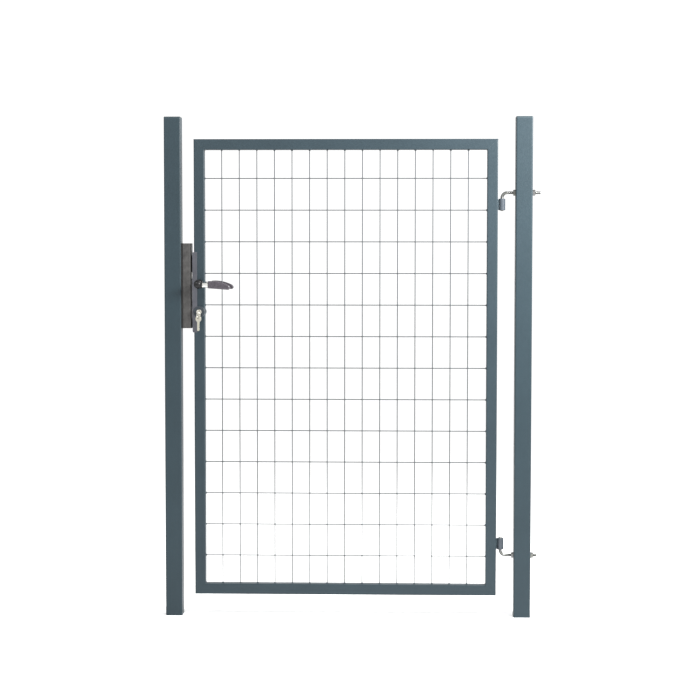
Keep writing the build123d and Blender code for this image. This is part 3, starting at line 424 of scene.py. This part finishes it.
class GATE_OT_lock_finishes(bpy.types.Operator):
    """Finishes of the lock, its case, the cylinder, the keys and the keep"""
    bl_idname = "gate.lock_finishes"
    bl_label = "Lock and keep"

    def execute(self, context):
        look = settings("gate_finishes")
        # anodised aluminium extrusion: satin, with fine lines drawn along it and bright edges, partly worn
        # and partly a painted highlight; its dark grey colour is a painted reflection of dark surroundings
        give(finish("anodised_aluminium", look.forend, rough=(0.28, 0.44), metallic=1.0, cloud=(0.04, 0.16),
                    grain=(0.0007, 0.1), stretch=(1.0, 1.0, 0.02), edge_wear_and_highlight=(0.0012, 2.6, 0.8)), "lock_forend")
        # zinc plated sheet: a dull shine with bluish clouds from passivation
        give(finish("zinc_plated_sheet", look.zinc, rough=(0.32, 0.5), metallic=1.0, cloud=(0.02, 0.1),
                    grain=(0.001, 0.05), second=look.zinc_blue),
             "lock_case", "lock_case_cover", "lock_follower")
        # ground stainless steel bars: straight lines along the bolt spread the shine across it
        give(finish("ground_stainless", look.steel, rough=(0.2, 0.34), metallic=1.0, grain=(0.0006, 0.1),
                    stretch=(0.02, 1.0, 1.0), edge_wear_and_highlight=(0.0008, 1.2, 0.5)),
             "latch_bolt", "deadbolt", "handle_spindle", "forend_screws", "cylinder_screw")
        # nickel plated brass: warmer than steel, turned rings faintly visible, edges brighter, partly rubbed
        # and partly a painted highlight
        give(finish("nickel_plated_brass", look.nickel, rough=(0.18, 0.32), metallic=1.0, cloud=(0.01, 0.08),
                    grain=(0.0005, 0.08), stretch=(1.0, 0.03, 1.0), edge_wear_and_highlight=(0.0006, 1.3, 0.5)),
             "cylinder_body", "cylinder_rear_plug", "cylinder_front_plug", "cylinder_cam")
        # keys carried in a pocket: worn plating with scratches down the blade and brassy clouds
        give(finish("worn_nickel_key", look.nickel, rough=(0.22, 0.4), metallic=1.0, cloud=(0.006, 0.14),
                    grain=(0.0005, 0.16), stretch=(1.0, 1.0, 0.06), edge_wear_and_highlight=(0.0006, 1.35, 0.6),
                    second=look.brass), "lock_key", "spare_key")
        # glass filled polyamide: dull and mottled where the filler reaches the skin, with pale edges, partly
        # scuffs and partly a painted highlight
        give(finish("filled_polyamide", look.keep, rough=(0.42, 0.6), ior=1.53, shine=0.3,
                    cloud=(0.022, 0.34), grain=(0.0016, 0.16), edge_wear_and_highlight=(0.0012, 1.6, 0.3), depth=0.0001),
             "keep_housing")
        # black coated steel plate: flat and nearly even, paler on the cut edges, partly wear and partly a
        # painted highlight
        give(finish("black_coated_plate", look.keep_metal, rough=(0.4, 0.55), shine=0.3, pits=0.0014,
                    grain=(0.0016, 0.08), edge_wear_and_highlight=(0.001, 2.2, 0.4), depth=0.00012),
             "keep_base", "keep_stop", "keep_strike_plate")
        # blackened screws: oiled oxide, dark with a metallic sheen in the sockets
        give(finish("blackened_screw", look.screw, rough=(0.34, 0.5), metallic=1.0, grain=(0.001, 0.1)),
             "keep_screws", "keep_stop_screws", "handle_grub_screws")
        # moulded rubber: nearly no shine, with a faint bloom
        give(finish("moulded_rubber", look.rubber, rough=(0.66, 0.8), ior=1.52, cloud=(0.008, 0.1)),
             "keep_buffers")
        return {"FINISHED"}


class GATE_OT_handle_finishes(bpy.types.Operator):
    """Finishes of the roses, the necks, the metal collars and the grips of both levers"""
    bl_idname = "gate.handle_finishes"
    bl_label = "Lever handles"

    def execute(self, context):
        look = settings("gate_finishes")
        # black polyamide: satin, spark-eroded grain from the mould, edges paler, partly rubbed smoother and
        # partly a painted highlight
        give(finish("black_polyamide", look.black, rough=(0.32, 0.46), ior=1.53, shine=0.25,
                    cloud=(0.012, 0.1), grain=(0.0009, 0.08), edge_wear_and_highlight=(0.001, 3.0, 0.35), depth=0.00006),
             "front_handle_rose", "rear_handle_rose", "front_handle_neck", "rear_handle_neck")
        # the same plastic dyed grey, on the rings round the cylinder
        give(finish("grey_polyamide", look.grey, rough=(0.34, 0.48), ior=1.53, shine=0.25, cloud=(0.012, 0.1),
                    grain=(0.0009, 0.08), edge_wear_and_highlight=(0.001, 1.8, 0.35), depth=0.00006),
             "front_cylinder_rose", "rear_cylinder_rose")
        # turned and polished stainless collar: rings round the lever, bright against the black
        give(finish("turned_collar", look.steel, rough=(0.14, 0.24), metallic=1.0, grain=(0.0005, 0.06),
                    stretch=(1.0, 0.05, 0.05), edge_wear_and_highlight=(0.0008, 1.2, 0.5)),
             "front_handle_collar", "rear_handle_collar")
        # polished polyamide grip: gloss over a mottled flow pattern, with scuffs along the hand's way
        grip = finish("polished_grip", look.grip, rough=(0.22, 0.42), ior=1.53, cloud=(0.009, 0.3),
                      grain=(0.0012, 0.12), stretch=(0.15, 1.0, 1.0), edge_wear_and_highlight=(0.0015, 1.5, 0.35),
                      depth=0.00003)
        shader = grip.node_tree.nodes["Principled BSDF"]
        shader.inputs["Coat Weight"].default_value = 0.35
        shader.inputs["Coat Roughness"].default_value = 0.16
        give(grip, "front_handle_grip", "rear_handle_grip")
        return {"FINISHED"}


ROD_CHAMFER = 0.001
ROD_SIDES = 32
BEND_STEPS = 16
STEPS_PER_PITCH = 6
# The thread reaches its full depth in two pitches, and has this share of it left at the rod's end
THREAD_START = 2
THREAD_END = 0.35
# The groove's slopes are steeper than a plain zigzag, which leaves its floor flat
GROOVE_SLOPE = 1.25


def hook_stations(node, upwards):
    """The rod of a hook bolt: a pin, a round bend and a threaded shank, with chamfered ends.

    Each station is a place, the direction along the rod, the core's radius, and on the thread the
    turns since its start with the share of the full depth that is cut."""
    hardware = settings("gate_hardware")
    low, high = box(node)
    radius = (high.y - low.y) / 2
    pin_x = low.x + radius
    tip = low.z if upwards else high.z
    shank = high.z - radius if upwards else low.z + radius
    way = 1 if upwards else -1
    bend = hardware.bend_radius
    pin_end = shank - way * bend
    stations = []
    for part in (0.0, ROD_CHAMFER / abs(pin_end - tip), 0.5, 1.0):
        core = radius - ROD_CHAMFER if part == 0.0 else radius
        stations.append((Vector((pin_x, 0, tip + (pin_end - tip) * part)), Vector((0, 0, way)), core, None))
    middle = Vector((pin_x + bend, 0, pin_end))
    for i in range(1, BEND_STEPS):
        turn = math.pi / 2 * i / BEND_STEPS
        place = middle + Vector((-math.cos(turn), 0, way * math.sin(turn))) * bend
        stations.append((place, Vector((math.sin(turn), 0, way * math.cos(turn))), radius, None))
    start, end = pin_x + bend, high.x
    stations.append((Vector((start, 0, shank)), Vector((1, 0, 0)), radius, None))
    pitch = hardware.thread_pitch
    steps = int((end - start) / pitch * STEPS_PER_PITCH)
    for i in range(1, steps + 1):
        x = start + (end - start) * i / steps
        cut = min(1.0, (x - start) / (THREAD_START * pitch)) * min(1.0, (end - x) / pitch + THREAD_END)
        core = radius - max(0.0, ROD_CHAMFER - (end - x))
        stations.append((Vector((x, 0, shank)), Vector((1, 0, 0)), core, ((x - start) / pitch, cut)))
    return stations


def hook_bolt(node, upwards):
    """The skin of a hook bolt, with its thread cut as a groove that turns round the shank."""
    depth = settings("gate_hardware").thread_depth
    stations = hook_stations(node, upwards)
    side = Vector((0, 1, 0))
    vertices = []
    for place, direction, core, thread in stations:
        across = side.cross(direction)
        for j in range(ROD_SIDES):
            angle = 2 * math.pi * j / ROD_SIDES
            reach = core
            if thread:
                turns, cut = thread
                share = (turns - j / ROD_SIDES) % 1.0
                groove = 1 - abs(2 * share - 1)
                reach -= depth * cut * min(1.0, groove * GROOVE_SLOPE)
            vertices.append(place + (side * math.cos(angle) + across * math.sin(angle)) * reach)
    vertices += [stations[0][0], stations[-1][0]]
    return vertices, tube_faces(len(stations), ROD_SIDES)


class GATE_OT_hook_bolts(bpy.types.Operator):
    """Threaded hook bolts with their nuts and washers"""
    bl_idname = "gate.hook_bolts"
    bl_label = "Hook bolts"

    def execute(self, context):
        look = settings("gate_finishes")
        # zinc plated steel: a soft shine with faint yellow clouds, brighter on crests and corners, partly
        # wear and partly a painted highlight
        zinc = finish("zinc_plated_steel", look.zinc, rough=(0.24, 0.38), metallic=1.0, cloud=(0.02, 0.1),
                      grain=(0.0012, 0.1), edge_wear_and_highlight=(0.0005, 1.4, 0.5), second=look.zinc_yellow)
        give(zinc, "hook_inner_nuts", "hook_outer_nuts", "hook_outer_washers")
        for node, upwards in (("upper_hook_bolt", True), ("lower_hook_bolt", False)):
            vertices, faces = hook_bolt(node, upwards)
            made = mesh_piece("threaded_" + node, vertices, faces, zinc, "posts")
            outward(made)
            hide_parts(node)
        return {"FINISHED"}


class GATE_OT_latch_spring(bpy.types.Operator):
    """The spring behind the latch bolt, as the CAD coil gives it"""
    bl_idname = "gate.latch_spring"
    bl_label = "Latch spring"

    def execute(self, context):
        # drawn spring wire: dark, oily and smooth
        wire = finish("drawn_spring_wire", settings("gate_finishes").spring, rough=(0.24, 0.36), metallic=1.0,
                      grain=(0.0006, 0.08))
        coil = NODES["latch_spring"].data
        made = mesh_piece("coiled_spring", [v.co for v in coil.vertices],
                          [tuple(face.vertices) for face in coil.polygons], wire, "leaf")
        outward(made)
        travel = settings("gate_hardware").latch_travel
        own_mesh(made)
        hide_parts("latch_spring")
        return {"FINISHED"}


# A mitre's seam stops short of the outer corner and, by a share of that, of the inner one, and lies
# sunk in the tube's faces by a share of its radius
SEAM_INSET = 0.002
INNER_INSET = 0.3
SEAM_SUNK = 0.35
# How far a hinge's beads stand from the stile and from the barrel along the tab
STILE_FILLET = 0.0006
BARREL_FILLET = 0.0008


class GATE_OT_welds(bpy.types.Operator):
    """Weld beads at the hinge tabs, ground seams at the mitres and welds of the mesh panel"""
    bl_idname = "gate.welds"
    bl_label = "Welds"

    def execute(self, context):
        size = settings("gate_welds")
        # weld metal under the coat: the coat's own colour, a little darker and glossier on its ripples
        coat = finish("coated_weld", settings("gate_finishes").frame_coat, rough=(0.28, 0.46),
                      shine=0.25, cloud=(0.004, 0.14), grain=(0.0012, 0.1), depth=0.0001)
        self.mitres(size, coat)
        self.hinges(size, coat)
        self.panel(size, coat)
        return {"FINISHED"}

    def mitres(self, size, coat):
        """A ground seam round each mitre, flush but for a trace."""
        points, edges = [], []
        half = TUBE / 2 - size.seam * SEAM_SUNK
        for x, inner_x in ((LEAF_LOW.x, OPENING_LOW.x), (LEAF_HIGH.x, OPENING_HIGH.x)):
            for z, inner_z in ((LEAF_LOW.z, OPENING_LOW.z), (LEAF_HIGH.z, OPENING_HIGH.z)):
                inset = Vector((inner_x - x, 0, inner_z - z)).normalized() * SEAM_INSET
                outer = Vector((x, 0, z)) + inset
                inner = Vector((inner_x, 0, inner_z)) - inset * INNER_INSET
                edges += loop_edges(4, len(points))
                points += [outer + Vector((0, -half, 0)), inner + Vector((0, -half, 0)),
                           inner + Vector((0, half, 0)), outer + Vector((0, half, 0))]
        weld_piece("mitre_seams", points, edges, coat, radius=size.seam,
                   spacing=size.seam * 0.9, shape=(1.0, 0.55, 1.0), detail=2)

    def hinges(self, size, coat):
        """Fillet welds between the stile, the tab and the barrel of each hinge."""
        points, edges = [], []
        for name in ("upper", "lower"):
            low, high = box(name + "_hinge_tab")
            barrel = box(name + "_hinge_barrel")
            mid = (barrel[0] + barrel[1]) / 2
            radius = (barrel[1].y - barrel[0].y) / 2
            seat = mid.x - math.sqrt(radius ** 2 - high.y ** 2)
            for x in (low.x + STILE_FILLET, seat - BARREL_FILLET):
                edges += loop_edges(4, len(points))
                points += [Vector((x, low.y, low.z)), Vector((x, high.y, low.z)),
                           Vector((x, high.y, high.z)), Vector((x, low.y, high.z))]
        weld_piece("hinge_welds", points, edges, coat, radius=size.bead,
                   spacing=size.bead * 0.7, shape=(1.0, 1.0, 0.8), detail=2)

    def panel(self, size, coat):
        """Small fused lumps at each crossing and heavier ones at the wires' ends."""
        uprights = wire_places(OPENING_LOW.x, OPENING_HIGH.x, size.upright_pitch, size.upright_shift)
        cross = wire_places(OPENING_LOW.z, OPENING_HIGH.z, size.crosswire_pitch)
        wire_y = centre("mesh_uprights").y, centre("mesh_crosswires").y
        crossings = [Vector((x, (wire_y[0] + wire_y[1]) / 2, z)) for x in uprights for z in cross]
        weld_piece("crossing_welds", crossings, [], coat, radius=size.crossing,
                   spacing=0.01, shape=(1.25, 0.8, 1.25), detail=2)
        ends = [Vector((x, wire_y[0], z)) for x in uprights for z in (OPENING_LOW.z, OPENING_HIGH.z)]
        ends += [Vector((x, wire_y[1], z)) for x in (OPENING_LOW.x, OPENING_HIGH.x) for z in cross]
        weld_piece("wire_end_welds", ends, [], coat, radius=size.wire_end,
                   spacing=0.01, shape=(1.0, 1.0, 1.0), detail=3)


class GATE_OT_split_ring(bpy.types.Operator):
    """The split ring that joins the two keys, wound from flattened wire"""
    bl_idname = "gate.split_ring"
    bl_label = "Split ring"

    def execute(self, context):
        hardware = settings("gate_hardware")
        # flattened spring steel, nickel plated: bright, with fine lines along the wire
        steel = finish("ring_steel", settings("gate_finishes").nickel, rough=(0.18, 0.3), metallic=1.0,
                       cloud=(0.004, 0.1), grain=(0.0004, 0.12))
        # the CAD ring's own mesh gives the circle's centre, its plane and its wire
        points = [v.co.copy() for v in NODES["key_ring"].data.vertices]
        mid = centre("key_ring")
        low, high = box("key_ring")
        outer = (high.z - low.z) / 2
        wide = max(points, key=lambda p: (p.xy - mid.xy).length)
        across = Vector((wide.x - mid.x, wide.y - mid.y, 0)).normalized()
        up = Vector((0, 0, 1))
        axis = across.cross(up)
        thick = max(abs((p - mid).dot(axis)) for p in points)
        circle = outer - thick
        steps, sides = 144, 10
        # the wire is flattened, so that its two turns lie side by side within the round CAD wire
        reach, half_flat = thick * 0.92, thick * 0.48
        vertices = []
        for i in range(steps + 1):
            turn = 2 * math.pi * hardware.ring_turns * i / steps
            out = across * math.sin(turn) - up * math.cos(turn)
            lift = axis * (thick * (i / steps - 0.5))
            for j in range(sides):
                angle = 2 * math.pi * j / sides
                vertices.append(mid + lift + out * (circle + reach * math.cos(angle))
                                + axis * (half_flat * math.sin(angle)))
        first = sum(vertices[:sides], Vector()) / sides
        last = sum(vertices[-sides:], Vector()) / sides
        vertices += [first, last]
        made = mesh_piece("split_ring", vertices, tube_faces(steps + 1, sides), steel, "hanging_keys")
        outward(made)
        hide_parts("key_ring")
        return {"FINISHED"}


class GATE_OT_studio(bpy.types.Operator):
    """A plain pale floor, soft light and the camera"""
    bl_idname = "gate.studio"
    bl_label = "Studio"

    def execute(self, context):
        studio = settings("gate_studio")
        scene = context.scene
        scene.view_settings.view_transform = "Standard"
        self.camera(studio, scene)
        self.floor(studio, scene)
        self.world(studio, scene)
        self.light(scene, "key_light", place=(0.85, -1.0, 1.9), size=0.7, power=studio.key)
        self.light(scene, "fill_light", place=(-2.2, -1.6, 2.6), size=1.0, power=studio.fill)
        self.light(scene, "back_light", place=(0.5, 2.4, 2.6), size=1.2, power=studio.fill)
        return {"FINISHED"}

    def camera(self, studio, scene):
        data = bpy.data.cameras.new("camera")
        data.sensor_width = 36.0
        data.lens = studio.focal
        made = bpy.data.objects.new("camera", data)
        scene.collection.objects.link(made)
        turn = (Matrix.Rotation(studio.yaw, 4, "Z") @ Matrix.Rotation(math.pi / 2 - studio.pitch, 4, "X")
                @ Matrix.Rotation(studio.roll, 4, "Z"))
        made.matrix_world = Matrix.Translation(studio.camera_place) @ turn
        scene.camera = made

    def floor(self, studio, scene):
        reach = 40.0
        data = bpy.data.meshes.new("floor")
        data.from_pydata([(-reach, -reach, 0), (reach, -reach, 0), (reach, reach, 0), (-reach, reach, 0)], [],
                         [(0, 1, 2, 3)])
        made = bpy.data.objects.new("floor", data)
        scene.collection.objects.link(made)
        # matt painted floor: nearly even, with a slow change of tone
        data.materials.append(finish("painted_floor", studio.floor, rough=(0.68, 0.76), cloud=(0.8, 0.01)))

    def world(self, studio, scene):
        world = bpy.data.worlds.new("pale_studio")
        world.use_nodes = True
        ground = world.node_tree.nodes["Background"]
        ground.inputs["Color"].default_value = (1.0, 1.0, 1.0, 1.0)
        ground.inputs["Strength"].default_value = studio.sky
        scene.world = world

    def light(self, scene, name, place, size, power):
        data = bpy.data.lights.new(name, "AREA")
        data.shape = "DISK"
        data.size = size
        data.energy = power
        made = bpy.data.objects.new(name, data)
        scene.collection.objects.link(made)
        # it faces the middle of the leaf
        aim = (LEAF_LOW + LEAF_HIGH) / 2 - Vector(place)
        made.matrix_world = Matrix.Translation(place) @ aim.to_track_quat("-Z", "Y").to_matrix().to_4x4()


class GATE_PT_panel(bpy.types.Panel):
    """The steps that finish the gate"""
    bl_idname = "GATE_PT_panel"
    bl_label = "Garden Gate"
    bl_space_type = "VIEW_3D"
    bl_region_type = "UI"
    bl_category = "Garden Gate"

    def draw(self, context):
        for operator in OPERATORS:
            self.layout.operator(operator.bl_idname)
        for group in GROUPS:
            column = self.layout.column(heading=group)
            for name in GROUPS[group].__annotations__:
                column.prop(getattr(context.scene, group), name)


OPERATORS = (GATE_OT_coated_steel, GATE_OT_lock_finishes, GATE_OT_handle_finishes, GATE_OT_hook_bolts,
             GATE_OT_latch_spring, GATE_OT_welds, GATE_OT_split_ring, GATE_OT_studio)
GROUPS = {"gate_finishes": GateFinishes, "gate_welds": GateWelds, "gate_hardware": GateHardware,
          "gate_studio": GateStudio}


def register():
    for made in (*GROUPS.values(), *OPERATORS, GATE_PT_panel):
        bpy.utils.register_class(made)
    for name, group in GROUPS.items():
        setattr(bpy.types.Scene, name, PointerProperty(type=group))


def unregister():
    for name in GROUPS:
        delattr(bpy.types.Scene, name)
    for made in (GATE_PT_panel, *reversed(OPERATORS), *reversed(tuple(GROUPS.values()))):
        bpy.utils.unregister_class(made)


def main():
    register()
    for operator in OPERATORS:
        getattr(bpy.ops.gate, operator.bl_idname.removeprefix("gate."))()


if __name__ == "__main__":
    main()
